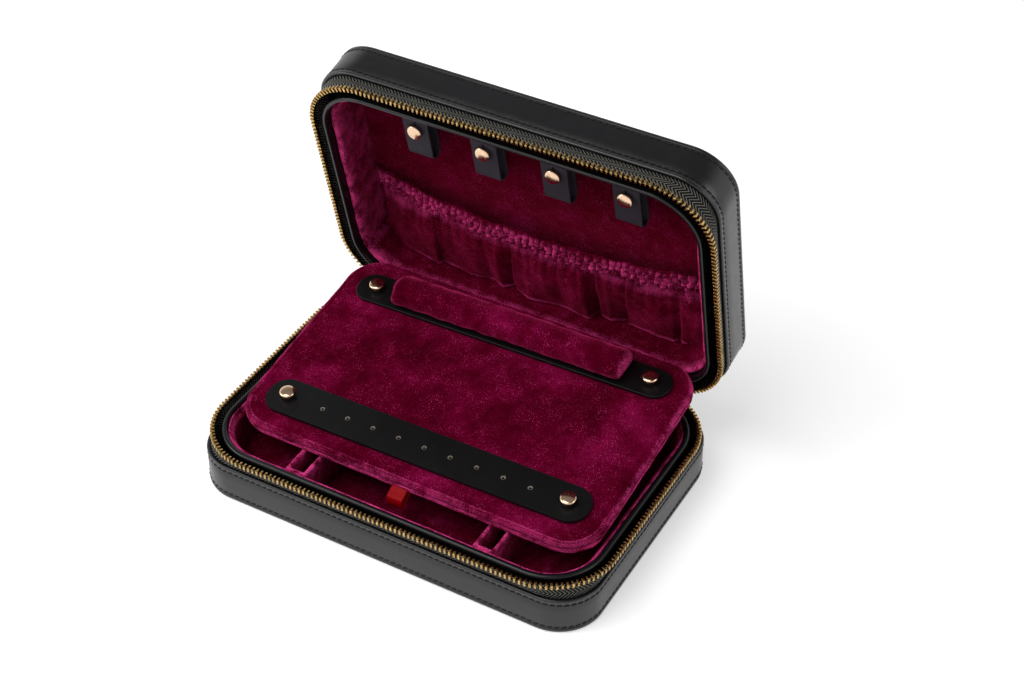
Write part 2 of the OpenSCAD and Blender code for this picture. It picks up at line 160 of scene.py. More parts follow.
def settle(vertices, old, new):
    """Moves a loop of the rounded rectangle old onto the rounded rectangle new."""
    a, b, r = old[0] - old[2], old[1] - old[2], old[2]
    a2, b2, r2 = new[0] - new[2], new[1] - new[2], new[2]
    for v in vertices:
        x, y = v.co.x / MM, v.co.y / MM
        sx, sy = math.copysign(1, x), math.copysign(1, y)
        if abs(x) <= a + 1e-4:
            place = (x * a2 / a, sy * new[1])
        elif abs(y) <= b + 1e-4:
            place = (sx * new[0], y * b2 / b)
        else:
            way = Vector((abs(x) - a, abs(y) - b)).normalized()
            place = (sx * (a2 + r2 * way.x), sy * (b2 + r2 * way.y))
        v.co = (place[0] * MM, place[1] * MM, new[3] * MM)


def choose(piece, kind, test):
    """In edit mode, selects just the faces, edges or verts for which the test holds."""
    bpy.ops.mesh.select_all(action="DESELECT")
    mesh = bmesh.from_edit_mesh(piece.data)
    for item in getattr(mesh, kind):
        item.select = test(item)
    if kind == "verts":
        mesh.select_flush(True)
    bmesh.update_edit_mesh(piece.data)


def ring(name, stations, cuts=0, arc=12, cap=False):
    """A wall that runs round the case through rounded rectangles (half width, half depth,
    radius, height), extruded from one to the next."""
    bpy.ops.object.select_all(action="DESELECT")
    first = stations[0]
    bpy.ops.mesh.primitive_plane_add(size=2 * MM, location=(0, 0, first[3] * MM))
    piece = bpy.context.object
    piece.name = name
    piece.scale = (first[0], first[1], 1)
    bpy.ops.object.transform_apply(location=True, scale=True)
    bpy.ops.object.mode_set(mode="EDIT")
    bpy.ops.mesh.bevel(offset=first[2] * MM, segments=arc, affect="VERTICES", profile=0.5)
    bpy.ops.mesh.delete(type="ONLY_FACE")
    if cuts:
        bpy.ops.mesh.select_mode(type="EDGE")
        choose(piece, "edges", lambda edge: edge.calc_length() > 20 * MM)
        bpy.ops.mesh.subdivide(number_cuts=cuts)
        bpy.ops.mesh.select_mode(type="VERT")
    bpy.ops.mesh.select_all(action="SELECT")
    mesh = bmesh.from_edit_mesh(piece.data)
    settle(mesh.verts, first, first)
    bmesh.update_edit_mesh(piece.data)
    bpy.ops.mesh.select_all(action="SELECT")
    for old, new in zip(stations, stations[1:]):
        bpy.ops.mesh.extrude_edges_move()
        mesh = bmesh.from_edit_mesh(piece.data)
        settle([v for v in mesh.verts if v.select], old, new)
        bmesh.update_edit_mesh(piece.data)
    if cap:
        bpy.ops.mesh.select_all(action="SELECT")
        bpy.ops.mesh.fill_holes(sides=0)
    bpy.ops.mesh.select_all(action="SELECT")
    bpy.ops.mesh.remove_doubles(threshold=1e-6)
    bpy.ops.mesh.normals_make_consistent(inside=False)
    bpy.ops.object.mode_set(mode="OBJECT")
    bpy.ops.object.shade_smooth()
    return piece


def put(piece, place):
    """Takes a finished mesh to its place, and leaves its object at the origin."""
    bpy.ops.object.select_all(action="DESELECT")
    piece.select_set(True)
    bpy.context.view_layer.objects.active = piece
    piece.matrix_world = place
    bpy.ops.object.transform_apply(location=True, rotation=True, scale=True)
    return piece


def open_out(piece):
    """Turns a piece of the lid from the closed place, where it is modelled, to the open one."""
    return put(piece, OPEN_LID)


def use_modifier(piece, kind, **settings):
    modifier = piece.modifiers.new(kind.lower(), kind)
    for key, value in settings.items():
        setattr(modifier, key, value)
    bpy.context.view_layer.objects.active = piece
    bpy.ops.object.modifier_apply(modifier=modifier.name)


def set_on(piece, body, material, slot, *replaced):
    piece.data.materials.clear()
    piece.data.materials.append(material)
    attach(piece, body)
    if replaced:
        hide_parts(*replaced)


def tones(add, value, *stops):
    """Colours for a value. The stops are (share, colour): the two ends, then any between them."""
    colour = add("ValToRGB", {"Fac": value}, "Color")
    ramp = colour.node.color_ramp.elements
    for i, (share, tint) in enumerate(stops):
        stop = ramp[i] if i < 2 else ramp.new(share)
        stop.position, stop.color = share, (*tint, 1)
    return colour


def leather(name, colour, shine, grain=0.12, gloss=0.24):
    """Smooth calf: a fine pebble, faint creases, and a sheen that varies where it is handled."""
    material, add, shader, place = new_material(name)
    pores = add("TexVoronoi", {"Scale": 1500, "Vector": place["Object"]}, "Distance", feature="SMOOTH_F1")
    creases = add("TexNoise", {"Scale": 160, "Detail": 6, "Distortion": 0.6,
                               "Vector": place["Object"]}, "Fac")
    clouds = add("TexNoise", {"Scale": 22, "Detail": 3, "Vector": place["Object"]}, "Fac")
    polish = add("MapRange", {"To Min": shine - 0.05, "To Max": shine + 0.10, "Value": creases})
    deep = add("Bump", {"Strength": grain, "Distance": 0.0003, "Height": pores})
    soft = add("Bump", {"Strength": grain, "Distance": 0.0006, "Height": creases, "Normal": deep})
    feed(shader, {"Base Color": tones(add, clouds, (0.3, [0.7 * c for c in colour]),
                                      (0.75, [1.35 * c for c in colour])),
                  "Roughness": polish, "Specular IOR Level": gloss, "Normal": soft})
    return material


black_leather = leather("black_leather", (0.0035, 0.0035, 0.0048), 0.28, gloss=0.54)

base_side = ring("base_side", [case(d, z) for d, z in (
    (2.5, 2.5), (0.45, 2.5), (0.15, 2.65), (0.1, 3.0), (0.1, 8), (0.1, 13), (0.25, 17.6), (0.42, 18.0),
    (0.42, 18.4), (0.3, 18.9), (0.28, 19.6), (0.05, 20.0), (0, 20.5), (0.1, 21.0), (0.45, 21.4),
    (1.0, 21.5), (2.1, 21.45), (2.45, 21.1), (2.5, 20), (2.5, 2.5))], arc=16)
base_board = ring("base_board", [case(d, z) for d, z in (
    (18, 0), (1.1, 0), (0.45, 0.2), (0.1, 0.7), (0, 1.3), (0.03, 2.1), (0.15, 2.35), (0.45, 2.4), (18, 2.4))],
    arc=16, cap=True)
lid_side = ring("lid_side", [case(d, z) for d, z in (
    (2.5, 60.9), (0.45, 60.9), (0.15, 60.75), (0.1, 60.4), (0.1, 55.5), (0.1, 50), (0.25, 45.2), (0.42, 44.8),
    (0.42, 44.4), (0.3, 43.9), (0.28, 43.2), (0.05, 42.8), (0, 42.3), (0.1, 41.7), (0.45, 41.3),
    (1.0, 41.2), (2.1, 41.25), (2.45, 41.6), (2.5, 43), (2.5, 60.9))], arc=16)
lid_board = ring("lid_board", [case(d, z) for d, z in (
    (18, 61), (0.45, 61), (0.15, 61.05), (0.03, 61.3), (0, 62.1), (0.1, 62.7), (0.45, 63.2), (1.1, 63.4),
    (18, 63.4))], arc=16, cap=True)
for piece in (lid_side, lid_board):
    open_out(piece)
set_on(base_side, "base", black_leather, "leather", "base_band")
set_on(base_board, "base", black_leather, "leather", "base_bottom")
set_on(lid_side, "lid", black_leather, "leather", "lid_band")
set_on(lid_board, "lid", black_leather, "leather", "lid_top")


# ---- Saddle stitching ----
# Waxed black thread in a shallow groove, one row just below the turned edge of each band
# and one along its closed side. One stitch is made, then copied round the case.
def stitches(name, inset, height, pitch=3.55):
    outline = ring(name + "_path", [case(inset, height), case(inset, height + 0.01)], arc=24)
    bpy.ops.object.mode_set(mode="EDIT")
    choose(outline, "verts", lambda v: v.co.z > (height + 0.005) * MM)
    bpy.ops.mesh.delete(type="VERT")
    bpy.ops.object.mode_set(mode="OBJECT")
    ends = [[outline.data.vertices[i].co for i in edge.vertices] for edge in outline.data.edges]
    length = sum((a - b).length for a, b in ends)
    count = round(length / (pitch * MM))
    bpy.ops.object.convert(target="CURVE")
    path = bpy.context.object
    bpy.ops.object.select_all(action="DESELECT")
    bpy.ops.mesh.primitive_cylinder_add(vertices=6, radius=0.42 * MM, depth=1.9 * MM,
                                        rotation=(0, math.radians(90), 0))
    thread = bpy.context.object
    thread.name = name
    bpy.ops.object.transform_apply(rotation=True)
    bpy.ops.object.mode_set(mode="EDIT")
    choose(thread, "faces", lambda face: abs(face.normal.x) > 0.9)
    bpy.ops.mesh.inset(thickness=0.16 * MM, depth=0.45 * MM)
    bpy.ops.mesh.inset(thickness=0.12 * MM, depth=0.15 * MM)
    bpy.ops.mesh.select_all(action="SELECT")
    bpy.ops.transform.rotate(value=math.radians(7), orient_axis="Y", center_override=(0, 0, 0))
    bpy.ops.object.mode_set(mode="OBJECT")
    bpy.ops.object.shade_smooth()
    use_modifier(thread, "ARRAY", count=count, use_relative_offset=False, use_constant_offset=True,
                 constant_offset_displace=(length / count, 0, 0))
    thread.location = path.location
    use_modifier(thread, "CURVE", object=path, deform_axis="POS_X")
    bpy.data.objects.remove(path)
    return thread


waxed_thread = leather("waxed_thread", (0.0012, 0.0012, 0.0010), 0.30, grain=0.5, gloss=0.22)
for name, inset, height, body in (("base_upper_stitching", 0.36, 18.2, "base"),
                                  ("base_lower_stitching", 0.14, 3.5, "base"),
                                  ("lid_upper_stitching", 0.36, 44.6, "lid"),
                                  ("lid_lower_stitching", 0.14, 59.9, "lid")):
    row = stitches(name, inset, height)
    if body == "lid":
        open_out(row)
    set_on(row, body, waxed_thread, "leather")


# ---- Zip tape ----
# Black herringbone tape, folded down inside each band and spreading out to the chain, so it
# is widest round the corners. It stops on both sides of the hinge side's leather spine.
CHAIN_W, CHAIN_D, CHAIN_R = 115.6, 78.6, 35     # half width, half depth and corner radius of the chain
HALF_FRONT, HALF_SIDE = 80.6, 43.6              # half of its straight front and of its straight side
CORNER_RUN, SIDE_RUN, ROUND = 55, 87.2, 718     # its run round a corner, down a side and once round


def chain(inset, z):
    """Plan of the zip chain, as half width, half depth, corner radius and height."""
    return (CHAIN_W - inset, CHAIN_D - inset, CHAIN_R - inset, z)


def along_chain(x, y):
    """How far round the chain's half a point lies from the front middle, in mm."""
    if y < -HALF_SIDE and x < HALF_FRONT:
        return x
    if y < -HALF_SIDE:
        return HALF_FRONT + CHAIN_R * math.atan2(x - HALF_FRONT, -HALF_SIDE - y)
    if x > HALF_FRONT and y <= HALF_SIDE:
        return HALF_FRONT + CORNER_RUN + y + HALF_SIDE
    if x > HALF_FRONT:
        return HALF_FRONT + CORNER_RUN + SIDE_RUN + CHAIN_R * math.atan2(y - HALF_SIDE, x - HALF_FRONT)
    return HALF_FRONT + 2 * CORNER_RUN + SIDE_RUN + HALF_FRONT - x


def lay_uv(piece):
    """UV in metres: round the case from the front middle, and up the tape's width."""
    mesh = piece.data
    while mesh.uv_layers:
        mesh.uv_layers.remove(mesh.uv_layers[0])
    layer = mesh.uv_layers.new(name="weave")
    for face in mesh.polygons:
        places = [mesh.vertices[i].co for i in face.vertices]
        turns = [math.atan2(co.x, -co.y) for co in places]
        over_the_end = max(turns) - min(turns) > math.pi
        for corner, co in zip(face.loop_indices, places):
            u = along_chain(abs(co.x) / MM, co.y / MM) * MM
            u = math.copysign(u, co.x) if abs(co.x) > 1e-6 else 0.0 if co.y < 0 else u
            if over_the_end and u < 0:
                u += ROUND * MM
            layer.data[corner].uv = (u, co.z)


def tape_stations(heights):
    low, high = heights[0], heights[-1]
    steps = []
    for i, z in enumerate(heights):
        f = (z - low) / (high - low)
        out = f * f * (3 - 2 * f) if i else 0
        bulge = 0.5 * math.sin(math.pi * f)
        steps.append((*[a + (b - a) * out + bulge for a, b in zip(case(2.75, z)[:3], chain(0.0, z)[:3])], z))
    return steps


def spread_tape(name, hem, heights, opening):
    """Tape from its hem up to the chain, cut away at the back between the ends of its opening."""
    stations = [case(2.75, hem)] + tape_stations(heights)
    tape = ring(name, stations, cuts=8, arc=14)
    bpy.ops.object.mode_set(mode="EDIT")
    for x in (-opening, opening):
        bpy.ops.mesh.select_all(action="SELECT")
        bpy.ops.mesh.bisect(plane_co=(x * MM, 0, 0), plane_no=(1, 0, 0))
    choose(tape, "faces", lambda face: face.calc_center_median().y > 60 * MM
           and abs(face.calc_center_median().x) < opening * MM)
    bpy.ops.mesh.delete(type="FACE")
    bpy.ops.object.mode_set(mode="OBJECT")
    lay_uv(tape)
    use_modifier(tape, "SOLIDIFY", thickness=0.7 * MM, offset=-0.2)
    use_modifier(tape, "SUBSURF", levels=1, render_levels=1)
    bpy.ops.object.shade_smooth()
    return tape


def maths(add, kind, *values):
    return add("Math", dict(enumerate(values)), operation=kind)


herringbone, add, shader, place = new_material("herringbone_tape")
weave = add("SeparateXYZ", {0: place["UV"]}, None)
# rows 3.5 mm wide whose ribs lean to the left and right by turns, each rib a twist of finer threads
row = maths(add, "MULTIPLY", weave["Y"], 1 / 0.0035)
pair = maths(add, "FRACT", maths(add, "MULTIPLY", row, 0.5))
lean = maths(add, "ABSOLUTE", maths(add, "SUBTRACT", pair, 0.5))
along = maths(add, "MULTIPLY", weave["X"], 1 / 0.00200)
rib = maths(add, "FRACT", maths(add, "ADD", along, maths(add, "MULTIPLY", lean, 3.8)))
rise = maths(add, "POWER", maths(add, "SINE", maths(add, "MULTIPLY", rib, math.pi)), 3.0)
ply = maths(add, "ADD", maths(add, "MULTIPLY", weave["Y"], 1 / 0.00052), along)
twist = maths(add, "ABSOLUTE", maths(add, "SINE", maths(add, "MULTIPLY", ply, math.pi)))
thread = maths(add, "MULTIPLY", rise, maths(add, "ADD", maths(add, "MULTIPLY", twist, 0.5), 0.5))
fuzz = add("TexNoise", {"Scale": 2500, "Detail": 2, "Vector": place["Object"]}, "Fac")
height = maths(add, "ADD", thread, maths(add, "MULTIPLY", fuzz, 0.3))
# the tape is black: its colour follows the height of the threads, a painted highlight on the crests of the
# ribs
feed(shader, {"Base Color": tones(add, height, (0.50, (0.0012, 0.0012, 0.0012)), (1.12, (0.24, 0.235, 0.21))),
              "Normal": add("Bump", {"Strength": 1.0, "Distance": 0.0004, "Height": height}),
              "Roughness": 0.5, "Specular IOR Level": 0.10})

base_tape = spread_tape("base_tape", 10, [19.6, 21.4, 22.6, 24.2, 25.8, 27.3, 28.6, 29.35], 62)
lid_tape = open_out(spread_tape("lid_tape", 52.5, [43.1, 41.3, 40.1, 38.2, 36, 34, 32.2, 30.75], 81))
set_on(base_tape, "base", herringbone, "zip_tape", "base_zip_tape")
set_on(lid_tape, "lid", herringbone, "zip_tape", "lid_zip_tape")


# ---- Zip chain ----
# Metal teeth in a pale gold plate, pressed one by one astride the beaded edge of the tape. The
# lid's teeth stand half a pitch on from the base's, so that the two rows mesh when it is zipped.
TOOTH_PITCH = 2.59


def plated(name, colour, rough, wear):
    """Plated metal with a faintly uneven polish and darker tarnish in random spots."""
    material, add, shader, place = new_material(name)
    spots = add("TexNoise", {"Scale": 700, "Detail": 4, "Vector": place["Object"]}, "Fac")
    polish = add("MapRange", {"To Min": rough + 0.08, "To Max": rough - 0.04, "Value": spots})
    feed(shader, {"Base Color": tones(add, spots, (0.32, [(1 - wear) * c for c in colour]), (0.62, colour)),
                  "Roughness": polish,
                  "Normal": add("Bump", {"Strength": 0.06, "Distance": 0.0002, "Height": spots}),
                  "Metallic": 1.0})
    return material


def finish_node(name, material):
    """Gives a CAD node that keeps its own shape its finish."""
    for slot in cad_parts[name].material_slots:
        slot.material = material


def chain_place(u):
    """Point and heading on the chain, u millimetres from the front middle."""
    a, arc = abs(u), CHAIN_R * math.pi / 2
    if a < HALF_FRONT:
        x, y, turn = a, -CHAIN_D, 0
    elif a < HALF_FRONT + arc:
        turn = (a - HALF_FRONT) / CHAIN_R
        x, y = HALF_FRONT + CHAIN_R * math.sin(turn), -CHAIN_D + CHAIN_R * (1 - math.cos(turn))
    elif a < HALF_FRONT + arc + SIDE_RUN:
        x, y, turn = CHAIN_W, -HALF_SIDE + a - HALF_FRONT - arc, math.pi / 2
    else:
        t = (a - HALF_FRONT - arc - SIDE_RUN) / CHAIN_R
        x, y = HALF_FRONT + CHAIN_R * math.cos(t), CHAIN_D - CHAIN_R * (1 - math.sin(t))
        turn = math.pi / 2 + t
    sign = -1 if u < 0 else 1
    return Matrix.Translation((sign * x * MM, y * MM, 0)) @ Matrix.Rotation(sign * turn, 4, "Z")


bpy.ops.object.select_all(action="DESELECT")
bpy.ops.mesh.primitive_cube_add(size=1 * MM, location=(0, 0, 0.5 * MM))
tooth = bpy.context.object
bpy.ops.object.transform_apply(location=True)
bpy.ops.object.mode_set(mode="EDIT")
bpy.ops.mesh.select_all(action="SELECT")
bpy.ops.transform.resize(value=(1.25, 2.5, 1.9), center_override=(0, 0, 0))
for up, narrow, thick in ((0.7, 1.04, 1.05), (0.55, 0.80, 0.98), (0.25, 0.60, 0.72)):
    crown = max(v.co.z for v in bmesh.from_edit_mesh(tooth.data).verts)
    choose(tooth, "faces", lambda face: face.calc_center_median().z > crown - 1e-6)
    bpy.ops.mesh.extrude_region_move(TRANSFORM_OT_translate={"value": (0, 0, up * MM)})
    bpy.ops.transform.resize(value=(thick, narrow, 1))
bpy.ops.object.mode_set(mode="OBJECT")
use_modifier(tooth, "BEVEL", width=0.26 * MM, segments=2, limit_method="ANGLE", angle_limit=math.radians(40))
tooth_gold = plated("tooth_gold", (0.66, 0.42, 0.145), 0.24, 0.65)


def chain_of(name, steps, mirrored, height):
    """A row of copies of the tooth, one at each step of the pitch, each with its own faces."""
    points, faces = [], []
    for step in steps:
        first, place = len(points), chain_place(step * TOOTH_PITCH)
        for v in tooth.data.vertices:
            co = place @ Vector((v.co.x, v.co.y, -v.co.z if mirrored else v.co.z))
            points.append((co.x, co.y, co.z + height * MM))
        for face in tooth.data.polygons:
            corners = [first + i for i in face.vertices]
            faces.append(corners[::-1] if mirrored else corners)
    mesh = bpy.data.meshes.new(name)
    mesh.from_pydata(points, [], faces)
    chain_piece = bpy.data.objects.new(name, mesh)
    bpy.context.scene.collection.objects.link(chain_piece)
    bpy.ops.object.select_all(action="DESELECT")
    chain_piece.select_set(True)
    bpy.context.view_layer.objects.active = chain_piece
    bpy.ops.object.shade_smooth_by_angle(angle=math.radians(35))
    return chain_piece


base_teeth = chain_of("base_chain", range(-102, 103), False, 27.45)
lid_teeth = open_out(chain_of("lid_chain", [i + 0.5 for i in range(-102, 102)], True, 32.65))
bpy.data.objects.remove(tooth)
set_on(base_teeth, "base", tooth_gold, "gold", "base_zip_teeth")
set_on(lid_teeth, "lid", tooth_gold, "gold", "lid_zip_teeth")
for name in ("base_zip_stops", "lid_zip_stops"):
    finish_node(name, tooth_gold)


# ---- Slider and pull ----
# Cast slider in the same plate, parked on the bare end of the tape. Its flat tab hangs from a
# bail, and both keep the shapes of the solids.
slider_gold = plated("slider_gold", (0.78, 0.58, 0.36), 0.22, 0.2)
for name in ("zip_slider", "zip_pull"):
    finish_node(name, slider_gold)


# ---- Collars ----
# A stiff frame covered in leather stands inside each half, glued to the board. Its top edge is
# a rolled lip level with the zip, which keeps the tape away from the velvet.
def inner(inset, z):
    """Plan of what stands inside the bands, whose corners are rounder."""
    return case(inset, z, 34.4)


piped_leather = leather("piped_leather", (0.0035, 0.0035, 0.0042), 0.27, 0.08, 0.34)
OUTSIDE, INSIDE = 5.65, 7.95    # insets of the frame's two faces
for name, lip, foot, up, roll in (
        ("base", 29.8, 2.5, 1, (
            (OUTSIDE, 4.6), (4.7, 3.6), (4.15, 2.4), (4.1, 1.5), (4.4, 0.6), (5.1, 0.1), (5.9, 0.0),
            (6.7, 0.15), (7.3, 0.65), (7.6, 1.4), (INSIDE, 2.6))),
        ("lid", 30.5, 60.9, -1, (
            (OUTSIDE, 2.1), (5.5, 1.3), (5.6, 0.55), (6.0, 0.12), (6.7, 0.0), (7.35, 0.15),
            (7.75, 0.6), (INSIDE, 1.3), (INSIDE, 2.4)))):
    wall = [(OUTSIDE, foot), *[(d, lip - up * z) for d, z in roll], (INSIDE, foot), (OUTSIDE, foot)]
    collar = ring(name + "_leather_collar", [inner(d, z) for d, z in wall], cuts=10, arc=12)
    if name == "lid":
        open_out(collar)
    set_on(collar, name, piped_leather, "leather", name + "_collar")


# ---- Velvet lining ----
# Crushed velvet glued over thin foam and board: walls with a rolled top edge, and a floor.
# The pile lies in patches, so it turns from deep burgundy to bright magenta.
# colours of the painted sheen on rims, folds and lit walls, and of the painted glints of single fibres
PAINTED_SHEEN_COLOUR = (0.95, 0.075, 0.34)
GLINT = (0.92, 0.13, 0.40)


def velvet(name, deep, middle, bright, patch=26):
    """Pile in patches of three tones, with painted sheen on rims and folds, painted glints of single fibres
    and a red sheen.
    """
    material, add, shader, place = new_material(name)

    def cloud(scale, detail, distortion, rough=0.5):
        return add("TexNoise", {"Scale": scale, "Detail": detail, "Roughness": rough,
                                "Distortion": distortion, "Vector": place["Object"]}, "Fac")

    def ranged(value, low, high):
        return add("MapRange", {"From Min": low, "From Max": high, "Value": value}, "Result")

    def blended(share, a, colour):
        return add("Mix", {"Factor": share, "A": a, "B": (*colour, 1)}, "Result", data_type="RGBA")

    patches = cloud(patch, 4, 0.9)
    crush = cloud(patch * 5, 5, 0.4, 0.62)
    pile = cloud(1500, 3, 0.0, 0.8)
    lay = maths(add, "ADD", maths(add, "MULTIPLY", patches, 0.46), maths(add, "MULTIPLY", crush, 0.26))
    lay = maths(add, "ADD", lay, maths(add, "MULTIPLY", pile, 0.40))
    shade = tones(add, lay, (0.44, deep), (0.74, bright), (0.57, middle))
    # painted sheen: rolled edges, folds and lit walls are brightened in the colour as a painted highlight,
    # speckled by the pile
    sheen_share = add("Attribute", output="Fac", attribute_name="painted_sheen")
    sheen_speckle = maths(add, "MULTIPLY", sheen_share, ranged(maths(add, "ADD", pile, crush), 0.88, 1.12))
    shade = blended(sheen_speckle, shade, PAINTED_SHEEN_COLOUR)
    # painted glints: single fibres that catch the light, painted into the colour
    spark = add("TexVoronoi", {"Scale": 1150, "Vector": place["Object"]}, "Distance")
    caught = maths(add, "ADD", crush, maths(add, "MULTIPLY", sheen_share, 0.6))
    glint = maths(add, "MULTIPLY", ranged(spark, 0.23, 0.08), ranged(caught, 0.40, 0.64))
    folds = add("Bump", {"Strength": 0.55, "Distance": 0.0020, "Height": crush})
    nap = add("Bump", {"Strength": 0.8, "Distance": 0.0008, "Height": pile, "Normal": folds})
    feed(shader, {"Base Color": blended(glint, shade, GLINT), "Normal": nap, "Roughness": 0.75,
                  "Specular IOR Level": 0.0, "Sheen Weight": 0.55, "Sheen Roughness": 0.25,
                  "Sheen Tint": (1.0, 0.05, 0.20, 1)})
    return material


def painted_sheen(piece, amount):
    """Stores the share of painted sheen at each vertex, from 0 to 1: a painted highlight on rims, folds and
    lit walls.
    """
    layer = piece.data.attributes.new("painted_sheen", "FLOAT", "POINT")
    for v, item in zip(piece.data.vertices, layer.data):
        item.value = max(0.0, min(1.0, amount(v.co / MM)))


def near(value, centre, width):
    """1 at the centre, falling to 0 at the width away from it."""
    return max(0.0, 1 - abs(value - centre) / width)


def ruffle(piece, amount, size, seed=0.0, keep=None):
    """Small uneven swells, as soft cloth has over foam: each vertex moves along its normal."""
    normals = [v.normal.copy() for v in piece.data.vertices]
    for v, normal in zip(piece.data.vertices, normals):
        if keep is None or keep(v.co):
            v.co += normal * amount * MM * noise.noise(v.co / (size * MM) + Vector((seed, 7.3, 1.9)))
    piece.data.update()


wine_velvet = velvet("wine_velvet", (0.052, 0.0002, 0.004), (0.100, 0.0004, 0.011), (0.28, 0.006, 0.062))

FLOOR = 4.5                      # height of the velvet floor
DIVIDER_X, SLOT = 55.4, 6        # the dividers' distance from the middle, and the slot inside each
SLOT_SIDES = (DIVIDER_X - SLOT / 2, DIVIDER_X + SLOT / 2)
base_lining = ring("base_velvet_lining", [inner(d, z) for d, z in (
    (8.1, 2.5), (8.1, 26.6), (7.75, 27.6), (7.75, 28.4), (8.05, 28.8), (8.45, 28.6), (8.7, 27.8),
    (8.95, 26.8), (9.8, 26.45), (10.75, 25.7), (10.95, 24.6), (10.9, 20), (10.85, 13), (10.9, 7),
    (11.1, 5.2), (11.9, 4.6), (14, FLOOR), (20, FLOOR), (30, FLOOR))], cuts=14, arc=10)
bpy.ops.object.mode_set(mode="EDIT")
choose(base_lining, "verts", lambda v: v.co.z < 4.55 * MM and abs(v.co.x) < 86 * MM and abs(v.co.y) < 49 * MM)
bpy.ops.mesh.edge_face_add()
# the floor is left out in the two slots, where the black board shows
for x in (-SLOT_SIDES[1], -SLOT_SIDES[0], *SLOT_SIDES):
    bpy.ops.mesh.select_all(action="SELECT")
    bpy.ops.mesh.bisect(plane_co=(x * MM, 0, 0), plane_no=(1, 0, 0))
bpy.ops.mesh.select_all(action="DESELECT")
bpy.ops.mesh.select_mode(type="FACE")
choose(base_lining, "faces", lambda face: face.calc_center_median().z < 4.8 * MM
       and SLOT_SIDES[0] < abs(face.calc_center_median().x / MM) < SLOT_SIDES[1]
       and abs(face.calc_center_median().y) < 63 * MM)
bpy.ops.mesh.delete(type="FACE")
bpy.ops.mesh.select_mode(type="VERT")
bpy.ops.object.mode_set(mode="OBJECT")
ruffle(base_lining, 0.35, 14, keep=lambda co: 6 * MM < co.z < 27 * MM and abs(co.x) < 104.5 * MM)
ruffle(base_lining, 0.45, 2.2, 3.0, keep=lambda co: co.z > 27 * MM)
# painted sheen on the rolled rim, a painted highlight
painted_sheen(base_lining, lambda co: (co.z - 25.3) / 2.2)
set_on(base_lining, "base", wine_velvet, "velvet", "base_lining")
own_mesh(base_lining)

lid_lining = ring("lid_velvet_lining", [inner(d, z) for d, z in (
    (8.1, 59.2), (8.1, 36.2), (8.3, 35.2), (8.8, 34.6), (9.5, 34.5), (10.2, 34.7), (10.75, 35.3),
    (10.95, 36.4), (10.9, 42), (10.85, 48), (10.9, 54), (10.95, 59.2))], cuts=14, arc=10)
ruffle(lid_lining, 0.4, 13, 3.0, keep=lambda co: abs(co.x) < 104.5 * MM and abs(co.y) < 67.5 * MM)
ruffle(lid_lining, 0.5, 2.4, 3.0, keep=lambda co: co.z < 36 * MM)
# painted sheen on the rolled edge, and a painted highlight on the left wall, the side that faces the light
painted_sheen(lid_lining, lambda co: max((38.2 - co.z) / 2.2, 0.36 if co.x < -100 else 0.0))
open_out(lid_lining)
set_on(lid_lining, "lid", wine_velvet, "velvet", "lid_lining")

back_pad = ring("lid_velvet_back", [inner(d, z) for d, z in (
    (8.3, 60.9), (8.3, 59.9), (8.8, 59.35), (12, 59.3), (25, 59.25), (33, 59.25))], cuts=6, arc=8, cap=True)
open_out(back_pad)
dark_velvet = velvet("dark_velvet", (0.060, 0.0002, 0.003), (0.105, 0.0004, 0.010), (0.24, 0.003, 0.060), 18)
set_on(back_pad, "lid", dark_velvet, "velvet_dark", "lid_back_pad")


# ---- Dividers ----
# Two long frames of board covered in velvet stand on the floor from front to back, glued at
# their ends. A narrow slot, open to the black board below, is left inside each.
def block(name, half_w, half_d, radius, profile, arc=3, cuts=0, cap=False):
    """A rounded block whose profile steps inwards by (inset, height)."""
    return ring(name, [(half_w - d, half_d - d, max(radius - d, 0.4), z) for d, z in profile],
                cuts=cuts, arc=arc, cap=cap)


for side, name in ((-1, "left"), (1, "right")):
    divider = block(name + "_velvet_divider", 6.2, 67, 0.9, (
        (0, 4.6), (0, 25.2), (0.3, 26.1), (0.9, 26.5), (1.5, 26.45), (2.0, 26.0), (2.2, 25.2), (2.3, 15),
        (2.3, 4.6), (0, 4.6)), cuts=16)
    ruffle(divider, 0.3, 11, side * 5.0, keep=lambda co: abs(co.y) < 64 * MM)
    # painted sheen on the rolled top edge, a painted highlight
    painted_sheen(divider, lambda co: (co.z - 24.6) / 1.2)
    for v in divider.data.vertices:
        v.co.x += side * DIVIDER_X * MM
    set_on(divider, "base", wine_velvet, "velvet", name + "_divider")


# ---- Lift-up panel ----
# A board with a foam pad, each wrapped in velvet and joined edge to edge, so the rim shows two
# soft rolls with a seam between them. It lies on the front of the lining, hinged at its rear.
PANEL = Matrix.Translation((0, 78.8 * MM, 51.8 * MM)) @ Matrix.Rotation(math.radians(7.8), 4, "X")
PANEL_HALF_W, PANEL_HALF_D, PANEL_R = 105, 66.5, 19.6
REARWARD, UPWARD = PANEL.to_3x3() @ Vector((0, 1, 0)), PANEL.to_3x3() @ Vector((0, 0, 1))


def on_panel(piece, shift=(0, 0, 0)):
    """Puts a piece modelled flat, with its place measured from the rear edge, on the tilted panel."""
    return put(piece, PANEL @ Matrix.Translation(Vector(shift) * MM))


panel_velvet = velvet("panel_velvet", (0.048, 0.0002, 0.005), (0.110, 0.0004, 0.015),
                      (0.30, 0.006, 0.075), 21)
pad = block("panel_velvet_pad", PANEL_HALF_W, PANEL_HALF_D, PANEL_R, (
    (14, -4.1), (2.0, -4.1), (0.9, -3.85), (0.25, -3.1), (0, -2.1), (0.2, -1.1), (0.8, -0.35), (1.6, 0.0),
    (2.4, 0.1), (3.2, 0.12), (4.0, 0.14), (6, 0.16), (9, 0.16), (15, 0.16)), arc=10, cuts=44, cap=True)
ruffle(pad, 0.5, 9, 2.0, keep=lambda co: co.z < -0.2 * MM)


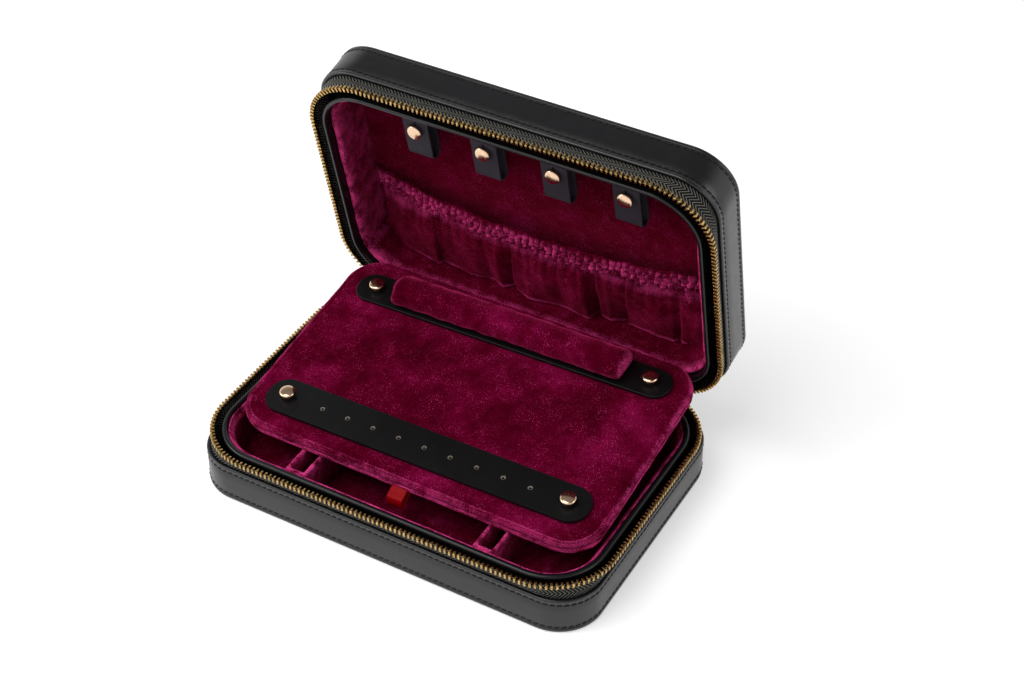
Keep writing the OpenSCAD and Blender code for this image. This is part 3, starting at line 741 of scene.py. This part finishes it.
def rim_distance(co):
    """Distance in from the panel's outline."""
    in_x, in_y = PANEL_HALF_W - abs(co.x), PANEL_HALF_D - abs(co.y)
    if in_x < PANEL_R and in_y < PANEL_R:
        return PANEL_R - math.hypot(PANEL_R - in_x, PANEL_R - in_y)
    return min(in_x, in_y)


def at_front(co):
    return co.y < -40


# the seam of the padding's edge is a shallow groove; painted sheen, a painted highlight, lies along it at the
# front and round the rolled edge
for v in pad.data.vertices:
    if v.co.z > -0.6 * MM:
        v.co.z -= 0.45 * MM * near(rim_distance(v.co / MM), 3.2, 0.8)
painted_sheen(pad, lambda co: max(0.8 * near(rim_distance(co), 2.2, 0.5) if at_front(co) else 0.0,
                              (0.35 if at_front(co) else 0.7) * near(rim_distance(co), 0, 2.4)))
on_panel(pad, (0, -PANEL_HALF_D, 0))
set_on(pad, "panel", panel_velvet, "velvet", "panel_pad")
board = block("panel_velvet_board", 104.7, 66.3, 19.4, (
    (14, -4.12), (1.4, -4.12), (0.5, -4.4), (0.05, -5.1), (0, -5.8), (0.3, -6.5), (1.3, -7.0), (14, -7.0)),
    arc=10, cuts=24, cap=True)
ruffle(board, 0.35, 8, 6.0, keep=lambda co: -6.8 * MM < co.z < -4.2 * MM)
# painted sheen along the board's rolled edge, a painted highlight
painted_sheen(board, lambda co: 1.4 - abs(co.z + 5.8) / 2.4)
on_panel(board, (0, -PANEL_HALF_D, 0))
set_on(board, "panel", wine_velvet, "velvet_dark", "panel_board")
piping = block("panel_piping", 105.1, 66.55, 19.7, (
    (0.75, -4.45), (0.35, -4.55), (0.05, -4.35), (0.0, -4.1), (0.05, -3.85), (0.35, -3.65), (0.75, -3.75),
    (0.75, -4.45)), arc=12, cuts=60)
# painted sheen all along the piping, a painted highlight
painted_sheen(piping, lambda co: 0.75)
on_panel(piping, (0, -PANEL_HALF_D, 0))
set_on(piping, "panel", panel_velvet, "velvet")
for piece in (pad, board, piping):
    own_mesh(piece)
    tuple(REARWARD)


# ---- Studs ----
# Small screwed collar studs, turned and plated in rose gold, with a nearly flat head. Their
# flange is fixed through the velvet of the panel, or through the hanger of a necklace loop.
rose_gold = plated("rose_gold", (0.80, 0.56, 0.38), 0.16, 0.15)


def stud(name, neck):
    """Turned from rod: a flange under the leather, a neck through it and a button head on top."""
    bpy.ops.object.select_all(action="DESELECT")
    bpy.ops.mesh.primitive_circle_add(vertices=32, radius=3.2 * MM, fill_type="NGON")
    piece = bpy.context.object
    piece.name = name
    bpy.ops.object.mode_set(mode="EDIT")
    bpy.ops.mesh.select_all(action="SELECT")
    radius, height = 3.2, 0.0
    for r, z in ((3.2, 0.55), (2.95, 0.78), (2.0, 0.8), (1.95, neck - 0.05), (3.3, neck),
                 (3.85, neck + 0.18), (4.2, neck + 0.6), (4.2, neck + 1.6), (4.08, neck + 2.0),
                 (3.75, neck + 2.28), (3.2, neck + 2.46), (2.4, neck + 2.62), (1.2, neck + 2.75),
                 (0.3, neck + 2.78)):
        bpy.ops.mesh.extrude_region_move(TRANSFORM_OT_translate={"value": (0, 0, (z - height) * MM)})
        bpy.ops.transform.resize(value=(r / radius, r / radius, 1))
        radius, height = r, z
    bpy.ops.mesh.select_all(action="SELECT")
    bpy.ops.mesh.normals_make_consistent(inside=False)
    bpy.ops.object.mode_set(mode="OBJECT")
    bpy.ops.object.shade_smooth_by_angle(angle=math.radians(42))
    return piece


RING_Y, EARRING_Y = -21.5, -110.3
RING_LINE = Matrix.Translation((0, RING_Y * MM, 0)) @ Matrix.Rotation(math.radians(1.3), 4, "Z")
EARRING_LINE = Matrix.Translation((0, EARRING_Y * MM, 0)) @ Matrix.Rotation(math.radians(0.75), 4, "Z")
STUD_X = 82.6               # half the distance between a strap's two studs
LOOP_PITCH = 40.75          # distance between the necklace loops


def on_line(piece, line, x, n):
    """Puts a piece on the centre line of a strap, x along it and n above the panel."""
    return put(piece, PANEL @ line @ Matrix.Translation((x * MM, 0, n * MM)))


for line, kind in ((RING_LINE, "ring"), (EARRING_LINE, "earring")):
    for x, side in ((-STUD_X, "left"), (STUD_X, "right")):
        name = f"{kind}_stud_{side}"
        button = on_line(stud("button_" + name, 4.2), line, x, 0.1)
        set_on(button, "panel", rose_gold, "gold", name)
# those of the necklace loops lean where the leather pulls on their necks
LEAN = Matrix.Rotation(math.radians(180 - 9), 4, "X")
for number in range(1, 5):
    middle = Vector(((number - 2.5) * LOOP_PITCH, -44.6, 46.8)) * MM
    button = put(stud(f"button_necklace_{number}", 7.4),
                 OPEN_LID @ Matrix.Translation(middle) @ LEAN @ Matrix.Translation((0, 0, -6 * MM)))
    set_on(button, "lid", rose_gold, "gold", f"necklace_stud_{number}")


# ---- Leather straps ----
# Cut from the same calf with painted edges, and buttoned over the studs by a hole and a slit at
# each end. The front one is punched with nine holes for earrings, the rear one carries the roll.
def softened(name, node, body, material, slot, edge=0.25):
    """A copy of a CAD solid with its cut edges rounded off, as a skived leather edge is."""
    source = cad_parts[node]
    piece = bpy.data.objects.new(name, source.data.copy())
    bpy.context.scene.collection.objects.link(piece)
    put(piece, source.matrix_world.copy())
    bpy.ops.object.mode_set(mode="EDIT")
    bpy.ops.mesh.select_all(action="SELECT")
    bpy.ops.mesh.remove_doubles(threshold=1e-6)
    bpy.ops.mesh.dissolve_limited(angle_limit=math.radians(1))
    bpy.ops.object.mode_set(mode="OBJECT")
    bpy.ops.object.shade_smooth_by_angle(angle=math.radians(40))
    use_modifier(piece, "BEVEL", width=edge * MM, segments=3, limit_method="ANGLE",
                 angle_limit=math.radians(50), use_clamp_overlap=True, harden_normals=True)
    set_on(piece, body, material, slot, node)


strap_leather = leather("strap_leather", (0.0032, 0.0032, 0.0036), 0.36, gloss=0.22)
softened("earring_leather", "earring_strap", "earring_strip", strap_leather, "leather", 0.35)
softened("ring_leather", "ring_strap", "ring_roll", strap_leather, "leather", 0.35)

# pale rings in the punched earring holes: painted highlights on the rims of the holes
EARRING_PITCH = 15.3
bpy.ops.object.select_all(action="DESELECT")
holes = []
for i in range(-4, 5):
    bpy.ops.mesh.primitive_cylinder_add(location=(i * EARRING_PITCH * MM, 0, 1.85 * MM), radius=1.22 * MM,
                                        depth=1.3 * MM, vertices=20, end_fill_type="NOTHING")
    holes.append(bpy.context.object)
for hole in holes:
    hole.select_set(True)
bpy.ops.object.join()
hole_highlight_rings = bpy.context.object
hole_highlight_rings.name = "painted_hole_highlights"
bpy.ops.object.transform_apply(location=True)
use_modifier(hole_highlight_rings, "SOLIDIFY", thickness=0.12 * MM, offset=-1)
bpy.ops.object.shade_smooth_by_angle(angle=math.radians(40))
on_line(hole_highlight_rings, EARRING_LINE, 0, 0)
set_on(hole_highlight_rings, "earring_strip", leather("painted_rim_highlight", (0.42, 0.39, 0.33), 0.5, 0.5, 0.4), "leather")


# ---- Ring roll ----
# A long velvet-covered cushion, stuffed firmly and sewn flat on its strap. Rings are pushed on
# over its end when the strap is unbuttoned.
ROLL_HALF = 69.5
bpy.ops.object.select_all(action="DESELECT")
bpy.ops.mesh.primitive_cylinder_add(vertices=36, radius=9.5 * MM, depth=2 * ROLL_HALF * MM,
                                    rotation=(0, math.radians(90), 0), location=(0, 0, 3.2 * MM))
roll = bpy.context.object
roll.name = "ring_roll_cushion"
bpy.ops.object.transform_apply(location=True, rotation=True)
bpy.ops.object.mode_set(mode="EDIT")
bpy.ops.mesh.select_all(action="SELECT")
bpy.ops.mesh.bisect(plane_co=(0, 0, 0.1 * MM), plane_no=(0, 0, -1), clear_outer=True, use_fill=True)
for x in range(-66, 67, 4):
    bpy.ops.mesh.select_all(action="SELECT")
    bpy.ops.mesh.bisect(plane_co=(x * MM, 0, 0), plane_no=(1, 0, 0))
choose(roll, "edges", lambda edge: all(abs(abs(v.co.x) - ROLL_HALF * MM) < 1e-6 for v in edge.verts)
       and any(v.co.z >= 0.2 * MM for v in edge.verts))
bpy.ops.mesh.bevel(offset=1.8 * MM, segments=4)
bpy.ops.object.mode_set(mode="OBJECT")
reach = [max(abs(v.co[i]) for v in roll.data.vertices) for i in range(3)]
use_modifier(roll, "REMESH", mode="VOXEL", voxel_size=3.4 * MM)
start = [v.co.copy() for v in roll.data.vertices]
cloth = roll.modifiers.new("cloth", "CLOTH")
cloth.settings.use_pressure = True
cloth.settings.uniform_pressure_force = 3
cloth.settings.effector_weights.gravity = 0
cloth.settings.tension_stiffness = 12
cloth.settings.compression_stiffness = 12
for step in range(1, 15):
    bpy.context.scene.frame_set(step)
bpy.context.view_layer.objects.active = roll
bpy.ops.object.modifier_apply(modifier="cloth")
bpy.context.scene.frame_set(1)
# it swells by a millimetre at most, and stays flat where it is sewn
for v, first in zip(roll.data.vertices, start):
    move = v.co - first
    if move.length > 1.0 * MM:
        move *= 1.0 * MM / move.length
    v.co = first + (move if first.z > 1.2 * MM else Vector((0, 0, 0)))
use_modifier(roll, "SUBSURF", levels=1, render_levels=1)
# back to the cut size, which remeshing has rounded down
swell = [reach[i] / max(abs(v.co[i]) for v in roll.data.vertices) for i in range(3)]
for v in roll.data.vertices:
    v.co = Vector(v.co[i] * swell[i] for i in range(3))
ruffle(roll, 0.7, 7, 4.0, keep=lambda co: co.z > 1.0 * MM)
bpy.ops.object.shade_smooth()
# painted sheen at the ends, along the lower edges and along the rear side, a painted highlight
painted_sheen(roll, lambda co: max(near(abs(co.x), 69.3, 2.4), near(co.z, 1.8, 2.4) if abs(co.y) > 6 else 0.0,
                               0.6 * near(co.y, 7.5, 3.0)))
ROLL_FOOT = 2.75            # height of the strap's top face over the panel
on_line(roll, RING_LINE, 0, ROLL_FOOT)
set_on(roll, "ring_roll", panel_velvet, "velvet", "ring_pad")
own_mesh(roll)
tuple(UPWARD)


# ---- Necklace loops ----
# Leather tabs glued to the top wall of the lid's lining. Each carries a stud, and its front leg
# folds up and buttons over it to hold a chain.
tab_leather = leather("tab_leather", (0.034, 0.030, 0.040), 0.55, 0.2, 0.14)
for number in range(1, 5):
    softened(f"necklace_tab_{number}", f"necklace_hanger_{number}", "lid", tab_leather, "leather", 0.2)
    softened(f"necklace_front_{number}", f"necklace_flap_{number}", f"necklace_loop_{number}", tab_leather,
             "leather", 0.2)


# ---- Gathered pocket ----
# A velvet sheet nearly half as wide again as its mouth, gathered into a shirred elastic band and
# sewn down along its lower edge, so it hangs in uneven folds.
HALF_MOUTH = 102


def grid_sheet(name, columns, rows, place_at):
    bpy.ops.object.select_all(action="DESELECT")
    bpy.ops.mesh.primitive_grid_add(x_subdivisions=columns, y_subdivisions=rows, size=2)
    sheet = bpy.context.object
    sheet.name = name
    for v in sheet.data.vertices:
        v.co = Vector(place_at(v.co.x, (v.co.y + 1) / 2)) * MM
    sheet.data.update()
    return sheet


def mouth_z(x):
    """How far the elastic mouth bows out from the back of the lid."""
    return 50.8 + 7.4 * min(abs(x) / HALF_MOUTH, 1) ** 2.6


def mouth_y(x):
    """Upper edge of the elastic, which sags between its two fixed ends."""
    return 14.9 - 6.5 * min(abs(x) / HALF_MOUTH, 1) ** 2.2


# where the cloth meets the wall at its foot, x and z: it doubles back on itself in pleats
FOOT = [(-101.5, 57.5), (-101.2, 54.9), (-81.4, 52.1), (-66.4, 49.4), (-65.4, 50.6), (-66.6, 52.2),
        (-62.6, 52.4), (-53.5, 50.5), (-39.9, 49.9), (-31.4, 51.2), (-24.6, 48.0), (-19.5, 52.2),
        (-14.5, 57.4), (-15.4, 54.0), (-18.1, 50.2), (-7.6, 46.7), (-1.6, 47.6), (10.5, 49.3),
        (28.9, 47.6), (31.5, 53.0), (33.4, 57.8), (33.0, 54.5), (34.5, 52.0), (40.3, 50.8),
        (49.3, 55.6), (54.3, 57.8), (52.6, 55.4), (50.1, 52.8), (67.0, 51.7), (77.7, 52.1),
        (80.5, 55.8), (82.0, 53.4), (92.0, 53.2), (101.5, 55.0)]
steps = [0.0]
for (x1, z1), (x2, z2) in zip(FOOT, FOOT[1:]):
    steps.append(steps[-1] + math.hypot(x2 - x1, z2 - z1))


def foot_point(f):
    """Point of the foot line a share f of the way along it."""
    run = f * steps[-1]
    i = max(k for k in range(len(FOOT) - 1) if steps[k] <= run + 1e-9)
    g = (run - steps[i]) / (steps[i + 1] - steps[i])
    return [FOOT[i][k] + (FOOT[i + 1][k] - FOOT[i][k]) * g for k in (0, 1)]


def pocket_point(s, t):
    """Place of a point of the cloth, s from end to end and t from the mouth down to the foot."""
    f = (s + 1) / 2
    foot_x, foot_z = foot_point(f)
    # the same cloth at the mouth, shared out evenly by the elastic
    x_top = -101.2 + 202.4 * (0.35 * f + 0.65 * (foot_x + 101.5) / 203)
    z_top = mouth_z(x_top) + 0.8
    drop = t ** 1.15
    x = x_top + (foot_x - x_top) * drop
    z = z_top + (foot_z - z_top) * t ** 0.8
    y = (mouth_y(x_top) + 10.9) * (1 - t) + 66.5 * t
    hang = math.sin(math.pi * t)
    edge = 1 - abs(s) ** 10
    z -= edge * hang * (1.3 + 0.9 * math.sin(x_top / 7.5) + 0.7 * math.sin(x_top / 3.7 + 1))
    gather = (1 - t) ** 2.2 * edge
    z -= gather * 1.3 * (abs(math.sin(math.pi * x_top / 6.1 + 0.9 * math.sin(x_top / 13))) - 0.5)
    return (x, y, z)


pocket = grid_sheet("velvet_pocket", 300, 40, pocket_point)
ruffle(pocket, 1.0, 9, 9.0, keep=lambda co: abs(co.x) < 99 * MM)
use_modifier(pocket, "SMOOTH", factor=0.5, iterations=2)
# painted sheen along the foot and just below the mouth, a painted highlight on the folds
painted_sheen(pocket, lambda co: max(1.3 * near(co.y, 66.5, 3.0), 0.5 * near(co.y, 28, 6)))
use_modifier(pocket, "SOLIDIFY", thickness=0.9 * MM, offset=0)
bpy.ops.object.shade_smooth()
open_out(pocket)
set_on(pocket, "lid", wine_velvet, "velvet", "lid_pocket")


def band_point(s, t):
    """Place of a point of the elastic band, s from end to end and t down its width."""
    x = 102.3 * s
    row = 4 * t + 0.10 * math.sin(x / 6.3)
    level = math.floor(row)
    # rows of small puffs between the lines of elastic thread, each row set off from the last
    phase = x / 4.2 + 0.5 * level + 0.45 * math.sin(x / 9.7 + 2.1 * level)
    puff = 1.7 * abs(math.sin(math.pi * phase)) ** 0.8 * abs(math.sin(math.pi * (row - level))) ** 0.7
    y = mouth_y(x) + 12.4 * t + 0.5 * math.sin(x / 2.3) + 0.5 * math.sin(x / 5.1 + 1)
    x += 0.5 * math.sin(2 * math.pi * phase + 1)
    return (x, y, mouth_z(x) - 0.6 - puff - 0.7 * math.sin(math.pi * t))


mouth_band = grid_sheet("shirred_elastic", 520, 36, band_point)
ruffle(mouth_band, 0.9, 2.3, 1.0, keep=lambda co: abs(co.x) < 101 * MM)
# painted sheen on the crests of the puffs, where they stand out furthest, a painted highlight
painted_sheen(mouth_band, lambda co: 0.50 * (mouth_z(co.x) - 1.4 - co.z))
use_modifier(mouth_band, "SOLIDIFY", thickness=1.2 * MM, offset=0)
bpy.ops.object.shade_smooth()
open_out(mouth_band)
set_on(mouth_band, "lid", wine_velvet, "velvet", "pocket_elastic")


# ---- Ribbon tab ----
# A loop of red satin ribbon, to lift the panel by. One end is sewn under the lower board's front
# edge and the other between the two boards.
bend = [(-128.5, -7.45), (-131.5, -7.8), (-134.2, -9.9), (-136.8, -12.4), (-138.8, -13.1),
        (-140.0, -12.2), (-140.3, -10.2), (-140.1, -8.2), (-139.6, -6.7), (-138.3, -6.0),
        (-136.5, -5.6), (-134.8, -4.9), (-133.2, -4.3)]


def ribbon_point(s, t):
    k = t * (len(bend) - 1)
    i = min(int(k), len(bend) - 2)
    f = k - i
    y, n = (bend[i][j] * (1 - f) + bend[i + 1][j] * f for j in (0, 1))
    return (-0.9 + 5.05 * s, y, n)


ribbon = grid_sheet("satin_ribbon", 8, 44, ribbon_point)
use_modifier(ribbon, "SMOOTH", factor=0.5, iterations=6)
use_modifier(ribbon, "SOLIDIFY", thickness=0.35 * MM, offset=0)
bpy.ops.object.shade_smooth()
on_panel(ribbon)
satin, add, shader, place = new_material("red_satin")
threads = add("TexWave", {"Scale": 900, "Distortion": 0.6, "Vector": place["Object"]}, "Fac")
feed(shader, {"Base Color": tones(add, threads, (0.0, (0.17, 0.0005, 0.002)), (1.0, (0.37, 0.0012, 0.006))),
              "Normal": add("Bump", {"Strength": 0.25, "Distance": 0.0001, "Height": threads}),
              "Roughness": 0.42, "Specular IOR Level": 0.07, "Anisotropic": 0.5})
set_on(ribbon, "panel", satin, "satin", "pull_ribbon")
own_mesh(ribbon)
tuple(REARWARD)


# ---- Panel's hinge strip ----
# A strip of velvet on which the panel lifts, glued to the rear lining below and to the panel's
# rear edge above.
def strip_point(s, t):
    return (90 * s, 74.6 + 0.25 * math.sin(9 * s) * math.sin(math.pi * t), 30.75 + 12.85 * t)


strip = grid_sheet("velvet_hinge_strip", 60, 10, strip_point)
use_modifier(strip, "SOLIDIFY", thickness=0.5 * MM, offset=0)
bpy.ops.object.shade_smooth()
strip.data.materials.append(dark_velvet)
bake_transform(strip)
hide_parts("panel_hinge_strip")


# ---- Spine ----
# One piece of the calf glued to both bands at the hinge side. It is the lid's hinge: it bows
# inwards while the lid stands open and lies flat when the case is closed.
LEAF, BOW = 14.1, 16.06     # length of each glued leaf, and radius of the bow between them
SPINE_Y, SPINE_FOOT = 78.7, 5


def spine_point(s, t):
    """Place of a point of the spine, s along the hinge and t from the base up to the lid."""
    run = t * (LEAF + BOW * LID_OPEN + LEAF)
    a = min(max(run - LEAF, 0) / BOW, LID_OPEN)
    rest = max(run - LEAF - BOW * LID_OPEN, 0)
    return (62 * s, SPINE_Y + BOW * (1 - math.cos(a)) + rest * math.sin(a),
            SPINE_FOOT + min(run, LEAF) + BOW * math.sin(a) + rest * math.cos(a))


spine = grid_sheet("leather_spine", 16, 48, spine_point)
use_modifier(spine, "SOLIDIFY", thickness=1.2 * MM, offset=0)
use_modifier(spine, "BEVEL", width=0.3 * MM, segments=2, limit_method="ANGLE", angle_limit=math.radians(50))
bpy.ops.object.shade_smooth_by_angle(angle=math.radians(40))
spine.data.materials.append(black_leather)
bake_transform(spine)
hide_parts("spine_base_leaf", "spine_fold", "spine_lid_leaf")
